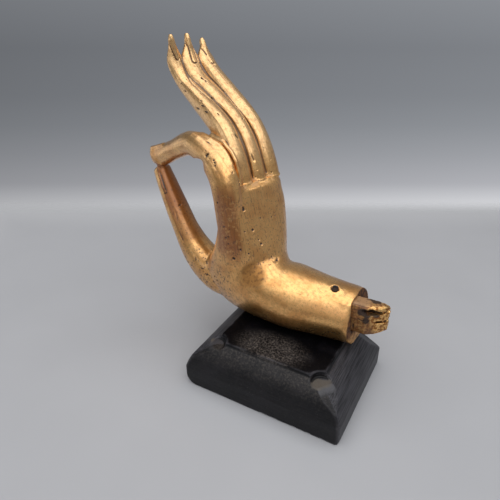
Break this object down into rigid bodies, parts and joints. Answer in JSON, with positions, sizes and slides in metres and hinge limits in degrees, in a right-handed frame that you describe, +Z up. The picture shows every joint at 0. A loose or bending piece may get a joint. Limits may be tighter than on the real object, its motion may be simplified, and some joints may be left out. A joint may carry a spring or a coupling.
{
  "type": "carved buddha hand",
  "caption": "Gilded wooden hand in the teaching gesture, thumb meeting forefinger and the other fingers raised, its forearm screwed down to a stepped black lacquered plinth.",
  "frame": {"origin": "middle of the plinth's flat underside", "axes": "+Z up; +X along the plinth's long side, towards the forearm's sawn end; -Y towards the side with the thumb"},
  "size_m": [0.2386, 0.1375, 0.2654],
  "materials": {
    "gilding": "gold leaf over red-brown lacquer, worn through on the arrises, with small dark pits",
    "black_lacquer": "black lacquer, satin, scuffed on the top and in the notches",
    "bare_wood": "oiled red-brown wood with flakes of gold",
    "peg_wood": "dark, matt end grain",
    "screw_steel": "plain turned steel"
  },
  "bodies": {
    "root": {"plinth": "black_lacquer", "carved_hand": "gilding", "finger_block": "gilding", "wrist_tenon": "bare_wood", "tenon_peg": "peg_wood", "screw_left": "screw_steel", "screw_right": "screw_steel"}
  },
  "joints": []
}
